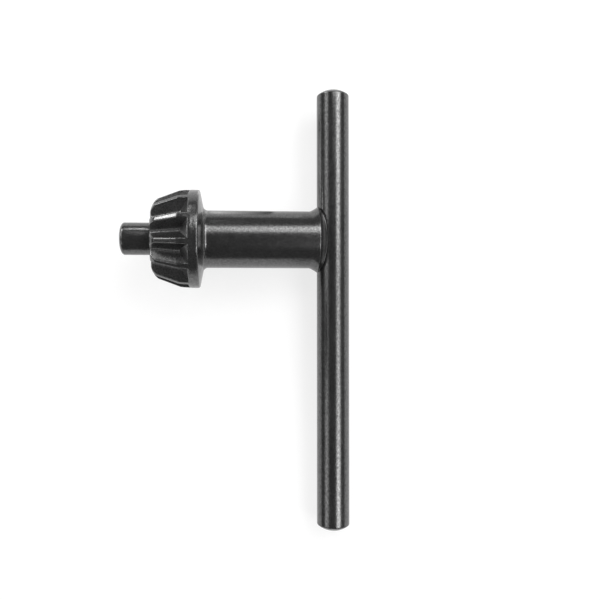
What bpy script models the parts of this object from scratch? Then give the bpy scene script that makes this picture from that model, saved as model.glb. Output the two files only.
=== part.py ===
"""Drill chuck key of blackened steel.

The stem is one forging, turned and toothed: a pilot, a bevel gear with its rim, and a round shank.
A plain round rod, welded across the end of the stem, is the tee handle.

Everything is modelled about the crossing of the two axes, with the pilot towards -X, the long arm of
the handle towards -Y and the gear's upper side towards +Z. A distance along the stem from the handle's
axis is called a reach. The finished key lies on the plane Z = 0, on the gear's rim, the end of the
shank and the end of the long arm, with the origin below the middle of its box. Lengths are in metres.
"""

from math import asin, atan2, cos, hypot, pi, radians, sin, sqrt, tan

import bmesh
import bpy
from mathutils import Euler, Vector


# Tee handle
HANDLE_DIAMETER = 0.0059
HANDLE_SHORT_ARM = 0.0276
HANDLE_LONG_ARM = 0.0529
HANDLE_CROWN_HEIGHT = 0.0011
HANDLE_EDGE_RADIUS = 0.0003

# Shank
SHANK_DIAMETER = 0.0104
SHANK_LENGTH = 0.02135
SHANK_FILLET = 0.0009

# Weld: the end of the shank is sunk over the rod, and the upset metal spreads along it
WELD_SINK = 0.0001
WELD_BULGE_HEIGHT = 0.00078
WELD_BULGE_LENGTH = 0.00145
WELD_FLASH_REACH = 0.0015
WELD_FLASH_STEP = 0.00077
SEAT_GAP = 0.0003

# Gear
RIM_DIAMETER = 0.0177
RIM_WIDTH = 0.0018
RIM_CORNER = 0.00035
RIM_STEP = 0.00005
BACK_CONE_ANGLE = radians(11.5)
TEETH_LENGTH = 0.0067
TOOTH_COUNT = 12
TOOTH_PHASE = radians(-8.0)
TIP_LEVEL_LENGTH = 0.00035
TIP_CROWN_RADIUS = 0.0065
TIP_CONE_ANGLE = radians(20.5)
FACE_CHAMFER_LENGTH = 0.001
FACE_CHAMFER_DEPTH = 0.0008
FACE_CHAMFER_SWELL = 0.00015
LAND_ANGLE = radians(6.0)
ROOT_FACE_DEPTH = 0.0007
ROOT_CONE_ANGLE = radians(15.0)
ROOT_RUNOUT_LENGTH = 0.0014
SPACE_FLOOR_SHARE = 0.14

# Pilot
PILOT_DIAMETER = 0.00585
PILOT_LENGTH = 0.0058
PILOT_NOSE_LENGTH = 0.0008
PILOT_NOSE_DEPTH = 0.0017
PILOT_FILLET = 0.0002

# Facets
POINTS_PER_SPACE_SIDE = 4
HANDLE_SEGMENTS = 48
ARC_STEPS = 4
SMALL_ARC_STEPS = 2
FLASH_ARC_STEPS = 6
SHARP_ANGLE = radians(28.0)
MERGE_DISTANCE = 1e-8

# The rod: its ends are spherical crowns that would meet its side in a sharp edge without the edge radius
HANDLE_RADIUS = HANDLE_DIAMETER / 2
HANDLE_CROWN_RADIUS = (HANDLE_RADIUS ** 2 + HANDLE_CROWN_HEIGHT ** 2) / (2 * HANDLE_CROWN_HEIGHT)

# Places along the stem, as reaches
SHANK_END = HANDLE_RADIUS - WELD_SINK
RIM_BACK = SHANK_END + SHANK_LENGTH
RIM_FRONT = RIM_BACK + RIM_WIDTH
FACE = RIM_FRONT + TEETH_LENGTH
PILOT_TIP = FACE + PILOT_LENGTH

# Radii that several outlines share
SHANK_RADIUS = SHANK_DIAMETER / 2
RIM_RADIUS = RIM_DIAMETER / 2
PILOT_RADIUS = PILOT_DIAMETER / 2
PITCH = 2 * pi / TOOTH_COUNT
SPACE_HALF_ANGLE = (PITCH - LAND_ANGLE) / 2

# The teeth are level beside the rim, then their crown is an arc that runs into the tip cone
CROWN_CENTRE_RADIUS = RIM_RADIUS - RIM_STEP - TIP_CROWN_RADIUS
CROWN_BACK = RIM_FRONT + TIP_LEVEL_LENGTH
CROWN_FRONT = CROWN_BACK + TIP_CROWN_RADIUS * sin(TIP_CONE_ANGLE)
CROWN_FRONT_RADIUS = CROWN_CENTRE_RADIUS + TIP_CROWN_RADIUS * cos(TIP_CONE_ANGLE)
CHAMFER_BACK = FACE - FACE_CHAMFER_LENGTH


def make_material(name, colour, roughness, metallic):
    """A plain Principled material."""
    material = bpy.data.materials.new(name)
    material.diffuse_color = (*colour, 1.0)
    material.use_nodes = True
    shader = material.node_tree.nodes["Principled BSDF"]
    shader.inputs["Base Color"].default_value = (*colour, 1.0)
    shader.inputs["Roughness"].default_value = roughness
    shader.inputs["Metallic"].default_value = metallic
    return material


def blackened_forging():
    """The slightly duller oxide of the forged and toothed stem."""
    return make_material("blackened_forging", (0.030, 0.030, 0.031), 0.38, 0.7)


def blackened_rod():
    """The smoother oxide of the drawn rod."""
    return make_material("blackened_rod", (0.026, 0.026, 0.028), 0.32, 0.7)


def arc(centre, half_axes, start, end, steps=ARC_STEPS):
    """Points on an elliptical arc in the plane of reach and radius, both ends included."""
    points = []
    for step in range(steps + 1):
        angle = start + (end - start) * step / steps
        points.append((centre[0] + half_axes[0] * cos(angle), centre[1] + half_axes[1] * sin(angle)))
    return points


def tip_cone_radius(reach):
    """The cone that the tooth tips follow, carried on past both of its ends."""
    return CROWN_FRONT_RADIUS + (CROWN_FRONT - reach) * tan(TIP_CONE_ANGLE)


def face_radius():
    """Radius of the gear's face, inside the chamfer on the tooth tips."""
    return tip_cone_radius(FACE) - FACE_CHAMFER_DEPTH


def tip_radius(reach):
    """Outline of the gear blank: level stretch, crown arc, tip cone and swollen chamfer, rim to face."""
    if reach < CROWN_BACK:
        return CROWN_CENTRE_RADIUS + TIP_CROWN_RADIUS
    if reach < CROWN_FRONT:
        return CROWN_CENTRE_RADIUS + sqrt(TIP_CROWN_RADIUS ** 2 - (reach - CROWN_BACK) ** 2)
    if reach < CHAMFER_BACK:
        return tip_cone_radius(reach)
    share = (FACE - reach) / FACE_CHAMFER_LENGTH
    swell = 4 * FACE_CHAMFER_SWELL * share * (1 - share)
    return face_radius() + (tip_cone_radius(CHAMFER_BACK) - face_radius()) * share + swell


def root_radius(reach):
    """The cone at the bottom of the tooth spaces."""
    return face_radius() - ROOT_FACE_DEPTH + (FACE - reach) * tan(ROOT_CONE_ANGLE)


def floor_radius(reach):
    """Bottom of a tooth space: the root cone, then the end wall that rises to the rim."""
    runout_front = RIM_FRONT + ROOT_RUNOUT_LENGTH
    if reach >= runout_front:
        return root_radius(reach)
    wall_share = (runout_front - reach) / ROOT_RUNOUT_LENGTH
    wall_foot = root_radius(runout_front)
    return wall_foot + (tip_radius(RIM_FRONT) - wall_foot) * wall_share


def space_share(height, full_height):
    """How far to the side of a tooth space its flank has risen by a height above the root."""
    return SPACE_FLOOR_SHARE + (1 - SPACE_FLOOR_SHARE) * sqrt(height / full_height)


def ring_point(reach, radius, angle):
    """A point round the stem. The angle turns from +Z towards +Y."""
    return Vector((-reach, radius * sin(angle), radius * cos(angle)))


def space_middles():
    """Angle of the middle of each tooth space."""
    return [TOOTH_PHASE + (index + 0.5) * PITCH for index in range(TOOTH_COUNT)]


def round_ring(reach, radius, bulge=0.0):
    """A ring of evenly spread points. The bulge raises its two sides that face along the handle."""
    points = []
    side = POINTS_PER_SPACE_SIDE
    for middle in space_middles():
        for place in range(-side, side + 1):
            angle = middle + place * PITCH / (2 * side + 1)
            points.append(ring_point(reach, radius + bulge * sin(angle) ** 4, angle))
    return points


def toothed_ring(reach):
    """A ring through the teeth: the flanks rise as parabolas from the floor of each space."""
    root = root_radius(reach)
    full_height = tip_cone_radius(reach) - root
    foot = space_share(floor_radius(reach) - root, full_height)
    edge = space_share(tip_radius(reach) - root, full_height)
    side = POINTS_PER_SPACE_SIDE
    points = []
    for middle in space_middles():
        for place in range(-side, side + 1):
            if place == 0:
                points.append(ring_point(reach, floor_radius(reach), middle))
                continue
            share = foot + (edge - foot) * (abs(place) - 1) / (side - 1)
            rise = ((share - SPACE_FLOOR_SHARE) / (1 - SPACE_FLOOR_SHARE)) ** 2
            turn = share * SPACE_HALF_ANGLE * (1 if place > 0 else -1)
            points.append(ring_point(reach, root + full_height * rise, middle + turn))
    return points


def pilot_rings():
    """The pilot from its flat tip and rounded nose to the fillet at the gear's face."""
    nose_centre = (PILOT_TIP - PILOT_NOSE_LENGTH, PILOT_RADIUS - PILOT_NOSE_DEPTH)
    outline = arc(nose_centre, (PILOT_NOSE_LENGTH, PILOT_NOSE_DEPTH), 0, pi / 2)
    fillet_centre = (FACE + PILOT_FILLET, PILOT_RADIUS + PILOT_FILLET)
    outline += arc(fillet_centre, (PILOT_FILLET, PILOT_FILLET), -pi / 2, -pi, SMALL_ARC_STEPS)
    return [round_ring(reach, radius) for reach, radius in outline]


def gear_rings():
    """The toothed zone, from the face back to the rim."""
    runout_front = RIM_FRONT + ROOT_RUNOUT_LENGTH
    stations = {FACE, CHAMFER_BACK, CROWN_FRONT, runout_front, CROWN_BACK, RIM_FRONT}
    stations.add((FACE + CHAMFER_BACK) / 2)
    stations.add((CHAMFER_BACK + CROWN_FRONT) / 2)
    stations.add((CROWN_FRONT + runout_front) / 2)
    stations.update(RIM_FRONT + ROOT_RUNOUT_LENGTH * step / ARC_STEPS for step in range(1, ARC_STEPS))
    return [toothed_ring(reach) for reach in sorted(stations, reverse=True)]


def rim_and_shank_rings():
    """The plain rim, its back cone and the fillet at the root of the shank."""
    outline = [(RIM_FRONT - RIM_STEP, RIM_RADIUS)]
    corner_centre = (RIM_BACK + RIM_CORNER, RIM_RADIUS - RIM_CORNER)
    outline += arc(corner_centre, (RIM_CORNER, RIM_CORNER), pi / 2, pi)
    fillet_top = SHANK_RADIUS + SHANK_FILLET * (1 - sin(BACK_CONE_ANGLE))
    cone_run = (RIM_RADIUS - RIM_CORNER - fillet_top) * tan(BACK_CONE_ANGLE)
    fillet_centre = (RIM_BACK - cone_run - SHANK_FILLET * cos(BACK_CONE_ANGLE), SHANK_RADIUS + SHANK_FILLET)
    outline += arc(fillet_centre, (SHANK_FILLET, SHANK_FILLET), -BACK_CONE_ANGLE, -pi / 2)
    return [round_ring(reach, radius) for reach, radius in outline]


def weld_rings():
    """The bulging end of the shank, its end face, and the flash that runs down onto the rod."""
    bulge_start = HANDLE_RADIUS + WELD_BULGE_LENGTH
    rings = [round_ring(bulge_start, SHANK_RADIUS)]
    rings.append(round_ring(HANDLE_RADIUS + WELD_BULGE_LENGTH / 2, SHANK_RADIUS, WELD_BULGE_HEIGHT / 2))
    rings.append(round_ring(HANDLE_RADIUS, SHANK_RADIUS, WELD_BULGE_HEIGHT))
    rings.append(round_ring(SHANK_END, SHANK_RADIUS, WELD_BULGE_HEIGHT))
    flash_rise = SHANK_RADIUS - WELD_FLASH_STEP - HANDLE_RADIUS
    flash = arc((SHANK_END, HANDLE_RADIUS), (WELD_FLASH_REACH, flash_rise), pi / 2, pi, FLASH_ARC_STEPS)
    rings += [round_ring(reach, radius, WELD_BULGE_HEIGHT) for reach, radius in flash]
    return rings


def loft(rings):
    """A closed mesh through rings that have equally many points, with a flat cap on either end."""
    mesh = bpy.data.meshes.new("gear_shank")
    shape = bmesh.new()
    loops = [[shape.verts.new(point) for point in ring] for ring in rings]
    for near, far in zip(loops, loops[1:]):
        for index in range(len(near)):
            after = (index + 1) % len(near)
            shape.faces.new((near[index], near[after], far[after], far[index]))
    shape.faces.new(loops[0])
    shape.faces.new(loops[-1])
    bmesh.ops.remove_doubles(shape, verts=shape.verts, dist=MERGE_DISTANCE)
    bmesh.ops.recalc_face_normals(shape, faces=shape.faces)
    shape.to_mesh(mesh)
    shape.free()
    return mesh


def spin_along_y(name, outline):
    """A closed mesh turned about the Y axis from (place, radius) points that start and end on it."""
    mesh = bpy.data.meshes.new(name)
    shape = bmesh.new()
    chain = [shape.verts.new((0.0, place, radius)) for place, radius in outline]
    edges = [shape.edges.new(pair) for pair in zip(chain, chain[1:])]
    bmesh.ops.spin(
        shape, geom=chain + edges, cent=(0, 0, 0), axis=(0, 1, 0), angle=2 * pi,
        steps=HANDLE_SEGMENTS, use_merge=True)
    bmesh.ops.remove_doubles(shape, verts=shape.verts, dist=MERGE_DISTANCE)
    bmesh.ops.recalc_face_normals(shape, faces=shape.faces)
    shape.to_mesh(mesh)
    shape.free()
    return mesh


def handle_end(length):
    """One end of the rod: a spherical crown blended into the side, as (place, radius) points."""
    crown_centre = length - HANDLE_CROWN_RADIUS
    inner = HANDLE_CROWN_RADIUS - HANDLE_EDGE_RADIUS
    crown_turn = asin((HANDLE_RADIUS - HANDLE_EDGE_RADIUS) / inner)
    crown = arc((crown_centre, 0.0), (HANDLE_CROWN_RADIUS, HANDLE_CROWN_RADIUS), 0, crown_turn)
    edge_centre = (crown_centre + inner * cos(crown_turn), HANDLE_RADIUS - HANDLE_EDGE_RADIUS)
    edge = arc(edge_centre, (HANDLE_EDGE_RADIUS, HANDLE_EDGE_RADIUS), crown_turn, pi / 2, SMALL_ARC_STEPS)
    return crown + edge[1:]


def add_object(name, mesh, parent, material=None):
    """An object under the key's empty, smooth but for its real edges."""
    mesh.shade_smooth()
    mesh.set_sharp_from_angle(angle=SHARP_ANGLE)
    if material:
        mesh.materials.append(material)
    item = bpy.data.objects.new(name, mesh)
    item.parent = parent
    bpy.context.scene.collection.objects.link(item)
    return item


def make_stem(key):
    """Pilot, gear and shank in one piece, hollowed at its end to straddle the rod."""
    rings = pilot_rings() + gear_rings() + rim_and_shank_rings() + weld_rings()
    stem = add_object("gear_shank", loft(rings), key, blackened_forging())
    seat_radius = HANDLE_RADIUS + SEAT_GAP
    outline = [(-SHANK_DIAMETER, 0.0), (-SHANK_DIAMETER, seat_radius)]
    outline += [(SHANK_DIAMETER, seat_radius), (SHANK_DIAMETER, 0.0)]
    cutter = add_object("handle_seat_cutter", spin_along_y("handle_seat_cutter", outline), key)
    cutter.hide_render = True
    cutter.display_type = "WIRE"
    cut = stem.modifiers.new("handle_seat", "BOOLEAN")
    cut.operation = "DIFFERENCE"
    cut.solver = "EXACT"
    cut.object = cutter
    return stem


def make_handle(key):
    """The plain round rod with crowned ends."""
    outline = handle_end(HANDLE_SHORT_ARM)
    outline += [(-place, radius) for place, radius in reversed(handle_end(HANDLE_LONG_ARM))]
    return add_object("tee_handle", spin_along_y("tee_handle", outline), key, blackened_rod())


def rest_rotation():
    """Turn of the key at rest: pitched onto rim and shank end, then rolled onto the long arm.

    The pitch is that of the line from the shank's end edge that touches the rim's rounded back corner.
    The roll lowers the long arm until the rounded edge of its end meets the same plane.
    """
    run = RIM_BACK + RIM_CORNER - SHANK_END
    rise = RIM_RADIUS - RIM_CORNER - SHANK_RADIUS
    pitch = atan2(rise, run) + asin(RIM_CORNER / hypot(run, rise))
    axis_height = SHANK_RADIUS * cos(pitch) - SHANK_END * sin(pitch)
    inner = HANDLE_CROWN_RADIUS - HANDLE_EDGE_RADIUS
    edge_radius = HANDLE_RADIUS - HANDLE_EDGE_RADIUS
    edge_place = HANDLE_LONG_ARM - HANDLE_CROWN_RADIUS + sqrt(inner ** 2 - edge_radius ** 2)
    drop = axis_height - HANDLE_EDGE_RADIUS
    span = edge_place ** 2 + edge_radius ** 2
    arm_slope = (drop * edge_place - edge_radius * sqrt(span - drop ** 2)) / span
    roll = asin(arm_slope / cos(pitch))
    return Euler((roll, pitch, 0.0))


def rest_location(rotation, pieces):
    """Place of the key's empty that puts the origin below the middle of the key's box."""
    turn = rotation.to_matrix()
    corners = [turn @ vertex.co for piece in pieces for vertex in piece.data.vertices]
    low = Vector(min(corner[axis] for corner in corners) for axis in range(3))
    high = Vector(max(corner[axis] for corner in corners) for axis in range(3))
    return Vector((-(low.x + high.x) / 2, -(low.y + high.y) / 2, -low.z))


def main():
    for item in list(bpy.data.objects):
        bpy.data.objects.remove(item)
    key = bpy.data.objects.new("chuck_key", None)
    bpy.context.scene.collection.objects.link(key)
    pieces = [make_stem(key), make_handle(key)]
    key.rotation_euler = rest_rotation()
    key.location = rest_location(key.rotation_euler, pieces)


main()
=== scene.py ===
"""Looks of the blackened drill chuck key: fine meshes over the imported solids, finish, light and camera.

Both pieces are modelled in the key's own axes, as the solids are: the stem along X with the pilot
towards -X, the handle along Y with its long arm towards -Y, and the side that the camera sees towards +Z.
A distance along the stem from the handle's axis is called a reach. Lengths are in metres.
"""

from math import asin, atan2, cos, pi, radians, sin, sqrt, tan

import bmesh
import bpy
from mathutils import Euler, Matrix, Vector, noise


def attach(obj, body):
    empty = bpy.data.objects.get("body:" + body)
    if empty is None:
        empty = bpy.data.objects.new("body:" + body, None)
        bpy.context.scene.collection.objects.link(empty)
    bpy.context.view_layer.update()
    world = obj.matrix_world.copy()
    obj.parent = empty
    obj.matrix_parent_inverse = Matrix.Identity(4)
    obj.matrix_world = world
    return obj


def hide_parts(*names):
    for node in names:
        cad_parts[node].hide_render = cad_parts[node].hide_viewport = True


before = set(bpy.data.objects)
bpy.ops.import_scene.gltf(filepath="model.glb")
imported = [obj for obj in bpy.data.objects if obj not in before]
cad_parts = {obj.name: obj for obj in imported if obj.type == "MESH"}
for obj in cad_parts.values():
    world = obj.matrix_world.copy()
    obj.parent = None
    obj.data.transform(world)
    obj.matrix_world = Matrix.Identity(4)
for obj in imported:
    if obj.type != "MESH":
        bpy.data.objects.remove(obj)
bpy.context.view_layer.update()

# Place and turn of the key's own axes at rest, as the solids have them
KEY_PLACE = Vector((0.01756096, 0.01264291, 0.00465245))
KEY_TURN = Euler((0.03349225, 0.16686381, 0.0))
KEY_TO_ROW = Matrix.Translation(KEY_PLACE) @ KEY_TURN.to_matrix().to_4x4()

# The skin lies this far inside the solids' round surfaces, so that it stays in their box
SKIN_INSET = 0.00001

# Points closer than this are one
SAME_POINT = 1e-8

# Tee handle
HANDLE_RADIUS = 0.00295
HANDLE_SHORT_ARM = 0.02759
HANDLE_LONG_ARM = 0.05289
HANDLE_CROWN_HEIGHT = 0.0011
HANDLE_EDGE_RADIUS = 0.0003
HANDLE_CROWN_RADIUS = (HANDLE_RADIUS ** 2 + HANDLE_CROWN_HEIGHT ** 2) / (2 * HANDLE_CROWN_HEIGHT)
HANDLE_SEGMENTS = 128
HANDLE_SIDE_STEPS = 60
HANDLE_CROWN_STEPS = 12
HANDLE_EDGE_STEPS = 6

# Shank and weld
SHANK_RADIUS = 0.0052
SHANK_FILLET = 0.0009
SHANK_END = 0.00285
SHANK_END_ROUNDING = 0.00010
WELD_BULGE_HEIGHT = 0.00078
WELD_BULGE_LENGTH = 0.00145
WELD_FLASH_STEP = 0.00045
WELD_FOOT_MIDDLE = 0.00134
WELD_FOOT_SINK = 0.00003
WELD_HOLLOW_RUN = 0.5
WELD_HOLLOW_DROP = 0.93
WELD_CORE = 0.0023
SHANK_FILLET_STEPS = 8
SHANK_SIDE_STEPS = 14
SHANK_END_STEPS = 4
WELD_BULGE_POWER = 1.3
WELD_BULGE_SHARPNESS = 4
WELD_BULGE_STEPS = 10
WELD_FLASH_STEPS = 8
WELD_FLASH_MOST_SHARE = 0.4
WELD_FOOT_POWER = 1.5
WELD_FOOT_SPREAD = 0.995
WELD_CORE_SHARE = 0.5

# Gear
RIM_BACK = 0.0242
RIM_FRONT = 0.0260
RIM_RADIUS = 0.00885
RIM_CORNER = 0.00035
RIM_STEP = 0.00005
RIM_CHAMFER_LENGTH = 0.00040
RIM_FRONT_ROUNDING = 0.00014
BACK_CONE_ANGLE = radians(11.5)
FACE = 0.0327
TOOTH_COUNT = 12
TOOTH_PHASE = radians(-8.0)
TIP_LEVEL_LENGTH = 0.00035
TIP_CORNER = 0.0279
TIP_CORNER_ROUNDING = 0.00004
TIP_CONE_FRONT_RADIUS = 0.008388
TIP_CONE_FRONT = 0.028626
TIP_CONE_ANGLE = radians(20.5)
FACE_CHAMFER_LENGTH = 0.001
FACE_CHAMFER_DEPTH = 0.0008
FACE_CHAMFER_SWELL = 0.00015
LAND_ANGLE = radians(6.0)
ROOT_FACE_DEPTH = 0.0007
ROOT_CONE_ANGLE = radians(15.0)
ROOT_RUNOUT_LENGTH = 0.0014
SPACE_FLOOR_SHARE = 0.05
FLANK_POWER = 1.7
TOOTH_EDGE_ROUNDING = 0.00016
FACE_EDGE_ROUNDING = 0.00028
TOOTH_ROUGHNESS = 0.000006
TOOTH_GRAIN = 1300.0
RIM_ROUGHNESS = 0.000010
RIM_GRAIN = 2200.0
TOOTH_EDGE_MOST_SHARE = 0.45
TOOTH_EDGE_SLOPE = 1.6
FACE_EDGE_STEPS = 5
TOOTH_LENGTH_STEPS = 32
CROWN_STEPS = 4
RUNOUT_STEPS = 12
RIM_EDGE_STEPS = 6
RIM_SIDE_STEPS = 12
RIM_CORNER_STEPS = 6

# Unevenness of the forging: its fade at both ends of a stretch, and the noise that makes it
ROUGH_FADE = 0.0003
ROUGH_FALLOFF = 0.6
ROUGH_SCALE_STEP = 2.0
ROUGH_OCTAVES = 3
ROUGH_MIDDLE = 0.8

# Pilot
PILOT_TIP = 0.0385
PILOT_RADIUS = 0.002925
PILOT_NOSE_LENGTH = 0.0008
PILOT_NOSE_DEPTH = 0.0017
PILOT_FILLET = 0.0002
PILOT_NOSE_STEPS = 12
PILOT_SIDE_STEPS = 4
PILOT_FILLET_STEPS = 4

# Points in each half of a tooth's pitch, from the middle of a space to the middle of a land
FLOOR_STEPS = 3
FLANK_STEPS = 9
EDGE_STEPS = 4
LAND_STEPS = 3
HALF_STEPS = FLOOR_STEPS + FLANK_STEPS + EDGE_STEPS + LAND_STEPS

PITCH = 2 * pi / TOOTH_COUNT
SPACE_HALF_ANGLE = (PITCH - LAND_ANGLE) / 2
CROWN_BACK = RIM_FRONT + TIP_LEVEL_LENGTH
TIP_LEVEL_RADIUS = RIM_RADIUS - RIM_STEP
CHAMFER_BACK = FACE - FACE_CHAMFER_LENGTH
RUNOUT_FRONT = RIM_FRONT + ROOT_RUNOUT_LENGTH

# Camera: places from the crossing of the two axes, towards the pilot, down the long arm and off the key
EYE_TO_PILOT = 0.01845
EYE_DOWN_ARM = 0.01245
EYE_DISTANCE = 0.115
AIM_TO_PILOT = -0.00744
AIM_UP_ARM = 0.00145
SENSOR_WIDTH = 36.0
FOCAL_PIXELS = 632.0
IMAGE_PIXELS = 600.0
SHIFT_PIXELS = 27.0
CAMERA_NEAREST = 0.01

# Finish
OXIDE_IOR = 1.9
SPECK_GLOSS = (0.26, 0.72)
FORGED_ROUGHNESS = 0.07
FORGED_DEPTH = 0.0002
FORGED_RIM_SHARE = 0.5
FORGED_PILOT_CLEARANCE = 1.2
NOISE_RANGE = (0.3, 0.7)
CLOUD_SCALE = 420.0
CLOUD_DETAIL = 5.0
PATCH_SCALE = 900.0
PATCH_DETAIL = 6.0
OXIDE_GRAIN = 3400.0
FINE_DETAIL = 1.0
SPECK_SCALE = 1.1
SPECK_DETAIL = 2.0
COARSE_NOISE = 0.7
FINE_NOISE = 0.5
SMOOTH_ANGLE = radians(40)

# Light
FLOOR_RADIUS = 0.6
BOWL_HEIGHT = 0.5
BOWL_BEND = 0.25
BOWL_CENTRE = 0.0001
BOWL_SEGMENTS = 64
BOWL_BEND_STEPS = 8
FLOOR_TONE = 0.26
FLOOR_WHITE = 0.76
PANEL_PROFILE = (0.40, 0.95, 1.15, 0.95, 0.40)
ROOM_TONE = 0.12
ROOM_GLOW = 0.12


def arc(centre, half_axes, start, end, steps):
    """Points on an elliptical arc in the plane of reach and radius, both ends included."""
    points = []
    for step in range(steps + 1):
        angle = start + (end - start) * step / steps
        points.append((centre[0] + half_axes[0] * cos(angle), centre[1] + half_axes[1] * sin(angle)))
    return points


def spread(start, end, steps):
    """Evenly spread values, both ends included."""
    return [start + (end - start) * step / steps for step in range(steps + 1)]


def bent(start, corner, end, share):
    """A point on the curve that rounds a corner between two points beside it."""
    return start * (1 - share) ** 2 + corner * (2 * share * (1 - share)) + end * share ** 2


def ring_point(reach, radius, angle):
    """A point round the stem. The angle turns from +Z towards +Y."""
    return Vector((-reach, radius * sin(angle), radius * cos(angle)))


def tip_cone_radius(reach):
    """The cone that the tooth tips follow, carried on past both of its ends."""
    return TIP_CONE_FRONT_RADIUS + (TIP_CONE_FRONT - reach) * tan(TIP_CONE_ANGLE)


def face_radius():
    """Radius of the gear's face, inside the chamfer on the tooth tips."""
    return tip_cone_radius(FACE) - FACE_CHAMFER_DEPTH


def tip_radius(reach):
    """Outline of the gear blank, rim to face: level stretch, flat crown, tip cone, swollen chamfer."""
    if reach < CROWN_BACK:
        return TIP_LEVEL_RADIUS
    if reach < TIP_CORNER:
        share = (reach - CROWN_BACK) / (TIP_CORNER - CROWN_BACK)
        return TIP_LEVEL_RADIUS - (TIP_LEVEL_RADIUS - tip_cone_radius(TIP_CORNER)) * share ** 2
    if reach < CHAMFER_BACK:
        return tip_cone_radius(reach)
    share = (FACE - reach) / FACE_CHAMFER_LENGTH
    swell = 4 * FACE_CHAMFER_SWELL * share * (1 - share)
    return face_radius() + (tip_cone_radius(CHAMFER_BACK) - face_radius()) * share + swell


def root_radius(reach):
    """The cone at the bottom of the tooth spaces."""
    return face_radius() - ROOT_FACE_DEPTH + (FACE - reach) * tan(ROOT_CONE_ANGLE)


def floor_radius(reach):
    """Bottom of a tooth space: the root cone, then the end wall that rises to the rim."""
    if reach >= RUNOUT_FRONT:
        return root_radius(reach)
    wall_share = (RUNOUT_FRONT - reach) / ROOT_RUNOUT_LENGTH
    wall_foot = root_radius(RUNOUT_FRONT)
    return wall_foot + (tip_radius(RIM_FRONT) - wall_foot) * wall_share


def space_share(height, full_height):
    """How far to the side of a tooth space its flank has risen by a height above the root."""
    rise = max(height / full_height, 0.0)
    return SPACE_FLOOR_SHARE + (1 - SPACE_FLOOR_SHARE) * rise ** (1 / FLANK_POWER)


def half_space(reach):
    """(turn, radius) from the middle of a tooth space to the middle of the land beside it."""
    root = root_radius(reach)
    full_height = (tip_radius(reach) if reach < TIP_CORNER else tip_cone_radius(reach)) - root
    foot = space_share(floor_radius(reach) - root, full_height)
    edge = space_share(tip_radius(reach) - root, full_height)

    def flank(share):
        rise = max((share - SPACE_FLOOR_SHARE) / (1 - SPACE_FLOOR_SHARE), 0.0) ** FLANK_POWER
        return Vector((share * SPACE_HALF_ANGLE, root + full_height * rise))

    rounding = min(TOOTH_EDGE_ROUNDING, TOOTH_EDGE_MOST_SHARE * (edge - foot) * full_height)
    flank_end = flank(max(edge - rounding / full_height / TOOTH_EDGE_SLOPE, foot))
    corner = flank(edge)
    land_start = Vector((corner.x + rounding / corner.y, corner.y))
    line = [Vector((foot * SPACE_HALF_ANGLE * step / FLOOR_STEPS, floor_radius(reach)))
            for step in range(FLOOR_STEPS)]
    last_share = flank_end.x / SPACE_HALF_ANGLE
    line += [flank(share) for share in spread(foot, last_share, FLANK_STEPS)]
    line += [bent(flank_end, corner, land_start, step / EDGE_STEPS) for step in range(1, EDGE_STEPS + 1)]
    line += [Vector((turn, corner.y)) for turn in spread(land_start.x, PITCH / 2, LAND_STEPS)[1:]]
    return line


def toothed_ring(reach):
    """A ring through the teeth, whose edges are rounded."""
    half = half_space(reach)
    points = []
    for index in range(TOOTH_COUNT):
        middle = TOOTH_PHASE + (index + 0.5) * PITCH
        for place in range(-HALF_STEPS, HALF_STEPS):
            turn, radius = half[abs(place)]
            angle = middle + (turn if place > 0 else -turn)
            points.append(ring_point(reach, radius - SKIN_INSET, angle))
    return points


def round_ring(reach, radius, bulge=0.0):
    """A ring of evenly spread points. The bulge raises its two sides that face along the handle."""
    points = []
    for index in range(TOOTH_COUNT):
        middle = TOOTH_PHASE + (index + 0.5) * PITCH
        for place in range(-HALF_STEPS, HALF_STEPS):
            angle = middle + place * PITCH / (2 * HALF_STEPS)
            raised = radius - SKIN_INSET + bulge * sin(angle) ** WELD_BULGE_SHARPNESS
            points.append(ring_point(reach, raised, angle))
    return points


def drawn_in(ring, distance):
    """A flat ring moved towards its inside, square to its own line."""
    moved = []
    for index, point in enumerate(ring):
        along = ring[(index + 1) % len(ring)] - ring[index - 1]
        inward = Vector((0.0, along.z, -along.y)).normalized()
        if inward.dot(point) > 0:
            inward = -inward
        moved.append(point + inward * distance)
    return moved


def face_edge_rings():
    """The rounded front edge of teeth and spaces, from the face back."""
    behind = toothed_ring(FACE - FACE_EDGE_ROUNDING)
    corner = toothed_ring(FACE)
    before = drawn_in(corner, FACE_EDGE_ROUNDING)
    return [[bent(front, middle, back, share) for front, middle, back in zip(before, corner, behind)]
            for share in spread(0, 1, FACE_EDGE_STEPS)]


def pilot_rings():
    """The pilot from its flat tip and rounded nose to the fillet at the gear's face."""
    nose_centre = (PILOT_TIP - PILOT_NOSE_LENGTH, PILOT_RADIUS - PILOT_NOSE_DEPTH)
    outline = [(PILOT_TIP, nose_centre[1] / 2)]
    outline += arc(nose_centre, (PILOT_NOSE_LENGTH, PILOT_NOSE_DEPTH), 0, pi / 2, PILOT_NOSE_STEPS)
    side = spread(nose_centre[0], FACE + PILOT_FILLET, PILOT_SIDE_STEPS)[1:-1]
    outline += [(reach, PILOT_RADIUS) for reach in side]
    fillet_centre = (FACE + PILOT_FILLET, PILOT_RADIUS + PILOT_FILLET)
    outline += arc(fillet_centre, (PILOT_FILLET, PILOT_FILLET), -pi / 2, -pi, PILOT_FILLET_STEPS)
    return [round_ring(reach, radius) for reach, radius in outline]


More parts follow.
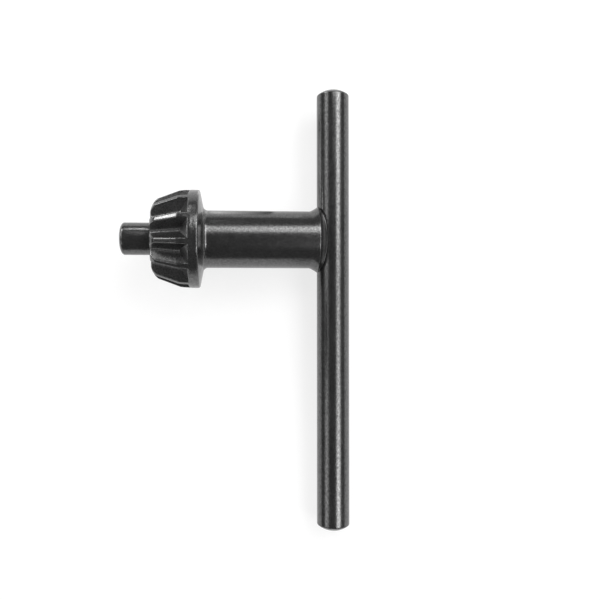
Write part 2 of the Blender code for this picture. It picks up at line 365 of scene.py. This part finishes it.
def gear_rings():
    """The toothed zone behind the rounded front edge, back to the rim."""
    stations = spread(FACE - FACE_EDGE_ROUNDING, TIP_CORNER + TIP_CORNER_ROUNDING, TOOTH_LENGTH_STEPS)[1:]
    stations += spread(TIP_CORNER - TIP_CORNER_ROUNDING, RUNOUT_FRONT, CROWN_STEPS)
    stations += spread(RUNOUT_FRONT, RIM_FRONT + RIM_FRONT_ROUNDING, RUNOUT_STEPS)[1:]
    return [toothed_ring(reach) for reach in stations]


def rim_edge_rings():
    """The rounded edge where the end walls of the spaces meet the rim."""
    before = toothed_ring(RIM_FRONT + RIM_FRONT_ROUNDING)
    turns = [turn_of(point) for point in before]
    corner = [ring_point(RIM_FRONT, TIP_LEVEL_RADIUS - SKIN_INSET, turn) for turn in turns]
    slope = RIM_STEP / RIM_CHAMFER_LENGTH
    behind_reach = RIM_FRONT - RIM_FRONT_ROUNDING
    behind_radius = TIP_LEVEL_RADIUS + slope * RIM_FRONT_ROUNDING
    behind = [ring_point(behind_reach, behind_radius - SKIN_INSET, turn) for turn in turns]
    return [[bent(front, middle, back, share) for front, middle, back in zip(before, corner, behind)]
            for share in spread(0, 1, RIM_EDGE_STEPS)[1:]]


def rim_and_shank_rings():
    """The rim with its shallow front chamfer, its back cone and the fillet at the root of the shank."""
    chamfer_back = RIM_FRONT - RIM_CHAMFER_LENGTH
    corner_centre = (RIM_BACK + RIM_CORNER, RIM_RADIUS - RIM_CORNER)
    outline = [(reach, RIM_RADIUS) for reach in spread(chamfer_back, corner_centre[0], RIM_SIDE_STEPS)[:-1]]
    outline += arc(corner_centre, (RIM_CORNER, RIM_CORNER), pi / 2, pi - BACK_CONE_ANGLE, RIM_CORNER_STEPS)
    fillet_top = SHANK_RADIUS + SHANK_FILLET * (1 - sin(BACK_CONE_ANGLE))
    cone_run = (RIM_RADIUS - RIM_CORNER - fillet_top) * tan(BACK_CONE_ANGLE)
    fillet_reach = RIM_BACK - cone_run - SHANK_FILLET * cos(BACK_CONE_ANGLE)
    fillet_centre = (fillet_reach, SHANK_RADIUS + SHANK_FILLET)
    fillet_size = (SHANK_FILLET, SHANK_FILLET)
    outline += arc(fillet_centre, fillet_size, -BACK_CONE_ANGLE, -pi / 2, SHANK_FILLET_STEPS)
    side = spread(fillet_reach, HANDLE_RADIUS + WELD_BULGE_LENGTH, SHANK_SIDE_STEPS)[1:]
    outline += [(reach, SHANK_RADIUS) for reach in side]
    return [round_ring(reach, radius) for reach, radius in outline]


def weld_foot(angle):
    """The line where the flash meets the rod, a little inside it."""
    side = sin(angle)
    reach = HANDLE_RADIUS - (HANDLE_RADIUS - WELD_FOOT_MIDDLE) * abs(cos(angle)) ** WELD_FOOT_POWER
    height = sqrt(max(HANDLE_RADIUS ** 2 - reach ** 2, 0.0))
    place = (SHANK_RADIUS + WELD_BULGE_HEIGHT) * side
    sink = 1 - WELD_FOOT_SINK / HANDLE_RADIUS
    facing = 1 if cos(angle) > 0 else -1
    return Vector((-reach * sink, place * WELD_FOOT_SPREAD, height * sink * facing))


def weld_rings():
    """The bulging end of the shank, its rounded edge and step, and the flash that runs onto the rod."""
    bulge_start = HANDLE_RADIUS + WELD_BULGE_LENGTH
    edge_back = SHANK_END + SHANK_END_ROUNDING
    rings = []
    for reach in spread(bulge_start, edge_back, WELD_BULGE_STEPS)[1:]:
        share = (bulge_start - reach) / (bulge_start - edge_back)
        rings.append(round_ring(reach, SHANK_RADIUS, WELD_BULGE_HEIGHT * share ** WELD_BULGE_POWER))
    for step in range(1, SHANK_END_STEPS + 1):
        turn = pi / 2 * step / SHANK_END_STEPS
        reach = edge_back - SHANK_END_ROUNDING * sin(turn)
        drop = SHANK_END_ROUNDING * (1 - cos(turn))
        rings.append(round_ring(reach, SHANK_RADIUS - drop, WELD_BULGE_HEIGHT))
    edge = rings[-1]
    feet = [weld_foot(turn_of(point)) for point in edge]
    heads = []
    for point, foot in zip(edge, feet):
        drop = min(WELD_FLASH_STEP, WELD_FLASH_MOST_SHARE * (point - foot).length)
        axis = Vector((point.x, 0.0, 0.0))
        heads.append(point + (axis - point).normalized() * drop)
    rings.append(heads)
    for share in spread(0, 1, WELD_FLASH_STEPS)[1:]:
        ring = []
        for head, foot in zip(heads, feet):
            run = foot - head
            corner = head + Vector((run.x * WELD_HOLLOW_RUN,
                                    run.y * WELD_HOLLOW_DROP,
                                    run.z * WELD_HOLLOW_DROP))
            ring.append(bent(head, corner, foot, share))
        rings.append(ring)
    core = Vector((-WELD_CORE, 0.0, 0.0))
    rings.append([core + (foot - core) * WELD_CORE_SHARE for foot in feet])
    return rings


def turn_of(point):
    """The angle of a point round the stem."""
    return atan2(point.y, point.z)


def loft(name, rings, last_centre):
    """A closed mesh through rings that have equally many points, with a fan on either end."""
    mesh = bpy.data.meshes.new(name)
    shape = bmesh.new()
    loops = [[shape.verts.new(point) for point in ring] for ring in rings]
    for near, far in zip(loops, loops[1:]):
        for index in range(len(near)):
            after = (index + 1) % len(near)
            shape.faces.new((near[index], near[after], far[after], far[index]))
    first_centre = sum(rings[0], Vector()) / len(rings[0])
    for loop, centre in ((loops[0], first_centre), (loops[-1], last_centre)):
        middle = shape.verts.new(centre)
        for index in range(len(loop)):
            shape.faces.new((loop[index], loop[(index + 1) % len(loop)], middle))
    bmesh.ops.remove_doubles(shape, verts=shape.verts, dist=SAME_POINT)
    bmesh.ops.recalc_face_normals(shape, faces=shape.faces)
    shape.to_mesh(mesh)
    shape.free()
    return mesh


def roughen(mesh, lowest_reach, highest_reach, depth, grain):
    """Small hollows and rises of the forging over one stretch of the stem."""
    for vertex, normal in [(vertex, vertex.normal.copy()) for vertex in mesh.vertices]:
        reach = -vertex.co.x
        if lowest_reach < reach < highest_reach:
            fade = min((reach - lowest_reach) / ROUGH_FADE, (highest_reach - reach) / ROUGH_FADE, 1.0)
            height = noise.fractal(vertex.co * grain, ROUGH_FALLOFF, ROUGH_SCALE_STEP, ROUGH_OCTAVES)
            vertex.co += normal * (depth * fade * (height - ROUGH_MIDDLE))


def handle_end(length):
    """One end of the rod: a spherical crown blended into the side, as (place, radius) points."""
    crown_centre = length - HANDLE_CROWN_RADIUS
    inner = HANDLE_CROWN_RADIUS - HANDLE_EDGE_RADIUS
    crown_turn = asin((HANDLE_RADIUS - HANDLE_EDGE_RADIUS) / inner)
    crown_size = (HANDLE_CROWN_RADIUS, HANDLE_CROWN_RADIUS)
    crown = arc((crown_centre, 0.0), crown_size, 0, crown_turn, HANDLE_CROWN_STEPS)
    edge_centre = (crown_centre + inner * cos(crown_turn), HANDLE_RADIUS - HANDLE_EDGE_RADIUS)
    edge_size = (HANDLE_EDGE_RADIUS, HANDLE_EDGE_RADIUS)
    edge = arc(edge_centre, edge_size, crown_turn, pi / 2, HANDLE_EDGE_STEPS)
    return crown[1:] + edge[1:]


def handle_mesh():
    """The plain round rod with crowned ends."""
    top = handle_end(HANDLE_SHORT_ARM)
    foot = [(-place, radius) for place, radius in reversed(handle_end(HANDLE_LONG_ARM))]
    side = [(place, HANDLE_RADIUS) for place in spread(top[-1][0], foot[0][0], HANDLE_SIDE_STEPS)[1:-1]]
    rings = []
    for place, radius in top + side + foot:
        ring = []
        for index in range(HANDLE_SEGMENTS):
            angle = 2 * pi * index / HANDLE_SEGMENTS
            across = radius - SKIN_INSET
            ring.append(Vector((across * sin(angle), place, across * cos(angle))))
        rings.append(ring)
    return loft("key_handle", rings, Vector((0.0, -HANDLE_LONG_ARM, 0.0)))


def stem_mesh():
    """Pilot, gear, rim, shank and weld in one skin."""
    rings = pilot_rings() + face_edge_rings() + gear_rings() + rim_edge_rings()
    rings += rim_and_shank_rings() + weld_rings()
    mesh = loft("key_stem", rings, Vector((-WELD_CORE, 0.0, 0.0)))
    roughen(mesh, RIM_FRONT, FACE, TOOTH_ROUGHNESS, TOOTH_GRAIN)
    roughen(mesh, RIM_BACK, RIM_FRONT, RIM_ROUGHNESS, RIM_GRAIN)
    return mesh


def add_node(tree, kind, **settings):
    """A shader node with its plain settings."""
    node = tree.nodes.new(kind)
    for name, value in settings.items():
        setattr(node, name, value)
    return node


def noise_node(tree, vector, scale, detail, roughness=0.6):
    """Noise over the key's own axes."""
    node = add_node(tree, "ShaderNodeTexNoise")
    node.inputs["Scale"].default_value = scale
    node.inputs["Detail"].default_value = detail
    node.inputs["Roughness"].default_value = roughness
    tree.links.new(vector, node.inputs["Vector"])
    return node.outputs["Fac"]


def ranged(tree, value, low, high, from_low=NOISE_RANGE[0], from_high=NOISE_RANGE[1]):
    """A value carried to another range, from the noise's usual one if none is given."""
    node = add_node(tree, "ShaderNodeMapRange")
    node.inputs["From Min"].default_value = from_low
    node.inputs["From Max"].default_value = from_high
    node.inputs["To Min"].default_value = low
    node.inputs["To Max"].default_value = high
    tree.links.new(value, node.inputs["Value"])
    return node.outputs["Result"]


def black_oxide(name, tones, roughness, stretch, grain, grain_depth):
    """Black oxide on steel: mottled tone, uneven gloss and fine grain, drawn out by a stretch below 1."""
    material = bpy.data.materials.new(name)
    material.use_nodes = True
    tree = material.node_tree
    shader = tree.nodes["Principled BSDF"]
    shader.inputs["Metallic"].default_value = 0.0
    shader.inputs["IOR"].default_value = OXIDE_IOR
    place = add_node(tree, "ShaderNodeAttribute", attribute_name="own_place").outputs["Vector"]
    drawn = add_node(tree, "ShaderNodeMapping")
    drawn.inputs["Scale"].default_value = stretch
    tree.links.new(place, drawn.inputs["Vector"])
    cloud = noise_node(tree, drawn.outputs["Vector"], CLOUD_SCALE, CLOUD_DETAIL)
    ramp = add_node(tree, "ShaderNodeValToRGB")
    for element, position, tone in zip(ramp.color_ramp.elements, NOISE_RANGE, tones):
        element.position = position
        element.color = (tone, tone, tone, 1.0)
    tree.links.new(cloud, ramp.inputs["Fac"])
    tree.links.new(ramp.outputs["Color"], shader.inputs["Base Color"])
    patches = noise_node(tree, drawn.outputs["Vector"], PATCH_SCALE, PATCH_DETAIL, COARSE_NOISE)
    forged = add_node(tree, "ShaderNodeAttribute", attribute_name="forged")
    uneven = add_node(tree, "ShaderNodeMath", operation="MULTIPLY_ADD")
    uneven.inputs[1].default_value = FORGED_ROUGHNESS
    tree.links.new(forged.outputs["Fac"], uneven.inputs[0])
    tree.links.new(ranged(tree, patches, *roughness), uneven.inputs[2])
    tree.links.new(uneven.outputs[0], shader.inputs["Roughness"])
    fine = noise_node(tree, drawn.outputs["Vector"], grain, FINE_DETAIL, FINE_NOISE)
    specks = noise_node(tree, drawn.outputs["Vector"], SPECK_SCALE * grain, SPECK_DETAIL, COARSE_NOISE)
    tree.links.new(ranged(tree, specks, *SPECK_GLOSS), shader.inputs["Specular IOR Level"])
    bump = add_node(tree, "ShaderNodeBump")
    bump.inputs["Strength"].default_value = 1.0
    bump.inputs["Distance"].default_value = grain_depth
    tree.links.new(fine, bump.inputs["Height"])
    tree.links.new(bump.outputs["Normal"], shader.inputs["Normal"])
    return material


def forged_share(point):
    """How much of the forging's rough skin is left: some on the rim, more in the tooth spaces."""
    reach = -point.x
    radius = sqrt(point.y ** 2 + point.z ** 2)
    if RIM_BACK + RIM_CORNER / 2 < reach < RIM_FRONT:
        return FORGED_RIM_SHARE
    in_teeth = RIM_FRONT <= reach < FACE
    if in_teeth and PILOT_RADIUS * FORGED_PILOT_CLEARANCE < radius < tip_radius(reach) - FORGED_DEPTH:
        return 1.0
    return 0.0


def add_piece(name, mesh, material, node):
    """A skin in the key's place, standing for its solid."""
    mesh.materials.append(material)
    mesh.shade_smooth()
    mesh.set_sharp_from_angle(angle=SMOOTH_ANGLE)
    own_place = mesh.attributes.new("own_place", "FLOAT_VECTOR", "POINT")
    own_place.data.foreach_set("vector", [value for vertex in mesh.vertices for value in vertex.co])
    if name == "key_stem":
        forged = mesh.attributes.new("forged", "FLOAT", "POINT")
        forged.data.foreach_set("value", [forged_share(vertex.co) for vertex in mesh.vertices])
    mesh.transform(KEY_TO_ROW)
    piece = bpy.data.objects.new(name, mesh)
    bpy.context.scene.collection.objects.link(piece)
    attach(piece, "root")
    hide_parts(node)
    return piece


def seen_ray(tree):
    """1 for a camera, glossy or transmission ray, and 0 for the light that falls on things."""
    path = add_node(tree, "ShaderNodeLightPath")
    seen = path.outputs["Is Camera Ray"]
    for kind in ("Is Glossy Ray", "Is Transmission Ray"):
        either = add_node(tree, "ShaderNodeMath", operation="MAXIMUM")
        tree.links.new(seen, either.inputs[0])
        tree.links.new(path.outputs[kind], either.inputs[1])
        seen = either.outputs[0]
    return seen


def backdrop_material(name, tone, glow, seen_only):
    """A plain diffuse surface with a glow, for every ray or only for those that see the surface."""
    material = bpy.data.materials.new(name)
    material.use_nodes = True
    tree = material.node_tree
    tree.nodes.clear()
    output = add_node(tree, "ShaderNodeOutputMaterial")
    white = add_node(tree, "ShaderNodeEmission")
    white.inputs["Strength"].default_value = glow
    if seen_only:
        tree.links.new(ranged(tree, seen_ray(tree), 0.0, glow, 0.0, 1.0), white.inputs["Strength"])
    pale = add_node(tree, "ShaderNodeBsdfDiffuse")
    pale.inputs["Color"].default_value = (tone, tone, tone, 1.0)
    both = add_node(tree, "ShaderNodeAddShader")
    tree.links.new(white.outputs[0], both.inputs[0])
    tree.links.new(pale.outputs[0], both.inputs[1])
    tree.links.new(both.outputs[0], output.inputs["Surface"])
    return material


def make_backdrop():
    """A white floor that curves up into a dim grey wall all round."""
    mesh = bpy.data.meshes.new("backdrop")
    shape = bmesh.new()
    outline = [(BOWL_CENTRE, 0.0), (FLOOR_RADIUS, 0.0)]
    for turn in spread(0, pi / 2, BOWL_BEND_STEPS)[1:]:
        outline.append((FLOOR_RADIUS + BOWL_BEND * sin(turn), BOWL_BEND * (1 - cos(turn))))
    outline.append((FLOOR_RADIUS + BOWL_BEND, BOWL_HEIGHT))
    loops = []
    for radius, height in outline:
        loop = []
        for angle in spread(0, 2 * pi, BOWL_SEGMENTS)[:-1]:
            loop.append(shape.verts.new((radius * cos(angle), radius * sin(angle), height)))
        loops.append(loop)
    for step, (near, far) in enumerate(zip(loops, loops[1:])):
        for index in range(BOWL_SEGMENTS):
            after = (index + 1) % BOWL_SEGMENTS
            face = shape.faces.new((near[index], near[after], far[after], far[index]))
            face.material_index = min(step, 1)
    shape.faces.new(loops[0])
    bmesh.ops.recalc_face_normals(shape, faces=shape.faces)
    shape.to_mesh(mesh)
    shape.free()
    mesh.shade_smooth()
    mesh.materials.append(backdrop_material("backdrop_floor", FLOOR_TONE, FLOOR_WHITE, True))
    mesh.materials.append(backdrop_material("backdrop_room", ROOM_TONE, ROOM_GLOW, False))
    item = bpy.data.objects.new("backdrop", mesh)
    bpy.context.scene.collection.objects.link(item)


def key_axes():
    """Towards the pilot, up the short arm, and off the key, in the row frame."""
    turn = KEY_TURN.to_matrix()
    return turn @ Vector((-1, 0, 0)), turn @ Vector((0, 1, 0)), turn @ Vector((0, 0, 1))


def panel(name, place, width, length, glows, upright=True, lying=False):
    """A glowing panel that faces the key, or lies along its plane, unseen by the camera.

    place is towards the pilot, up the short arm and off the key, from the crossing of the two axes.
    The glows are spread along its length, which runs up, or else away from the pilot.
    The long edges are softer.
    """
    pilot_way, arm_way, off_way = key_axes()
    offset = pilot_way * place[0] + arm_way * place[1] + off_way * place[2]
    back = off_way if lying else offset.normalized()
    side = arm_way.cross(back).normalized()
    top = back.cross(side)
    if not upright:
        side, top = -top, side
    mesh = bpy.data.meshes.new(name)
    rows = spread(-length / 2, length / 2, len(glows) - 1)
    columns = spread(-width / 2, width / 2, len(PANEL_PROFILE) - 1)
    corners = [(across, row, 0.0) for row in rows for across in columns]
    faces = []
    for row in range(len(rows) - 1):
        for column in range(len(columns) - 1):
            first = row * len(columns) + column
            faces.append((first, first + 1, first + 1 + len(columns), first + len(columns)))
    mesh.from_pydata(corners, [], faces)
    glow_layer = mesh.attributes.new("glow", "FLOAT", "POINT")
    glow_layer.data.foreach_set("value", [glow * share for glow in glows for share in PANEL_PROFILE])
    mesh.materials.append(glow_material())
    item = bpy.data.objects.new(name, mesh)
    bpy.context.scene.collection.objects.link(item)
    item.matrix_world = (Matrix.Translation(KEY_PLACE + offset)
                         @ Matrix((side, top, back)).transposed().to_4x4())
    item.visible_camera = False
    item.visible_shadow = not lying


def glow_material():
    """The panels' white light, as strong as each place of a panel says."""
    material = bpy.data.materials.get("panel_glow")
    if material:
        return material
    material = bpy.data.materials.new("panel_glow")
    material.use_nodes = True
    tree = material.node_tree
    tree.nodes.clear()
    output = add_node(tree, "ShaderNodeOutputMaterial")
    glow = add_node(tree, "ShaderNodeEmission")
    strength = add_node(tree, "ShaderNodeAttribute", attribute_name="glow")
    tree.links.new(strength.outputs["Fac"], glow.inputs["Strength"])
    tree.links.new(glow.outputs[0], output.inputs["Surface"])
    return material


def aside(distance, across, up, base=(0.0, 0.0)):
    """A panel's place at two angles seen from a point of the key's plane.

    across turns away from the pilot and up turns towards the short arm, from the line off the key.
    """
    return (base[0] - distance * cos(up) * sin(across),
            base[1] + distance * sin(up),
            distance * cos(up) * cos(across))


def make_lights():
    """Panels on both sides of the camera and above, a dark card, two small glows and a dim room."""
    gear = (0.030, 0.0)
    panel("panel_right", aside(distance=0.35, across=radians(30), up=radians(-2)),
          width=0.19, length=0.42, glows=(7.4, 3.0, 7.4))
    panel("panel_left", aside(distance=0.32, across=radians(-55), up=radians(-2)),
          width=0.165, length=0.42, glows=(2.5, 1.2, 2.5))
    panel("card_gear", place=(0.105, -0.0225, 0.070), width=0.035, length=0.030, glows=(0.0, 0.0))
    panel("panel_corner", aside(distance=0.40, across=radians(-62), up=radians(46), base=gear),
          width=0.15, length=0.13, glows=(10.5, 10.5))
    panel("panel_top", aside(distance=0.45, across=radians(21), up=radians(37.3)),
          width=0.22, length=0.42, glows=(3.4, 5.4, 7.0), upright=False)
    panel("panel_high", aside(distance=0.40, across=radians(-25), up=radians(66), base=gear),
          width=0.045, length=0.09, glows=(8.0, 8.0))
    panel("glow_behind_rim", place=(0.0165, 0.018, -0.0060), width=0.016, length=0.012,
          glows=(2.4, 1.2, 0.1), upright=False, lying=True)
    panel("panel_nose", place=(0.080, 0.0145, 0.004), width=0.012, length=0.010, glows=(6.0, 6.0))
    world = bpy.data.worlds.new("studio")
    bpy.context.scene.world = world
    world.use_nodes = True
    tree = world.node_tree
    background = tree.nodes["Background"]
    background.inputs["Strength"].default_value = ROOM_GLOW
    background.inputs["Color"].default_value = (1, 1, 1, 1)


def make_camera():
    """The photograph's view: close above the key, a little off square."""
    pilot_way, arm_way, off_way = key_axes()
    eye = KEY_PLACE + pilot_way * EYE_TO_PILOT - arm_way * EYE_DOWN_ARM + off_way * EYE_DISTANCE
    aim = eye + pilot_way * AIM_TO_PILOT + arm_way * AIM_UP_ARM - off_way * EYE_DISTANCE
    back = (eye - aim).normalized()
    right = arm_way.cross(back).normalized()
    top = back.cross(right)
    data = bpy.data.cameras.new("camera")
    data.sensor_width = SENSOR_WIDTH
    data.lens = SENSOR_WIDTH * FOCAL_PIXELS / IMAGE_PIXELS
    data.shift_x = SHIFT_PIXELS / IMAGE_PIXELS
    data.clip_start = CAMERA_NEAREST
    camera = bpy.data.objects.new("camera", data)
    bpy.context.scene.collection.objects.link(camera)
    camera.matrix_world = Matrix.Translation(eye) @ Matrix((right, top, back)).transposed().to_4x4()
    bpy.context.scene.camera = camera


stem_oxide = black_oxide("stem_black_oxide", tones=(0.0065, 0.0135), roughness=(0.18, 0.26),
                         stretch=(1, 1, 1), grain=OXIDE_GRAIN, grain_depth=0.0000020)
handle_oxide = black_oxide("handle_black_oxide", tones=(0.0065, 0.013), roughness=(0.18, 0.27),
                           stretch=(1, 0.5, 1), grain=OXIDE_GRAIN, grain_depth=0.0000018)
add_piece("key_stem", stem_mesh(), stem_oxide, "gear_shank")
add_piece("key_handle", handle_mesh(), handle_oxide, "tee_handle")
make_backdrop()
make_lights()
make_camera()
bpy.context.scene.view_settings.view_transform = "Standard"
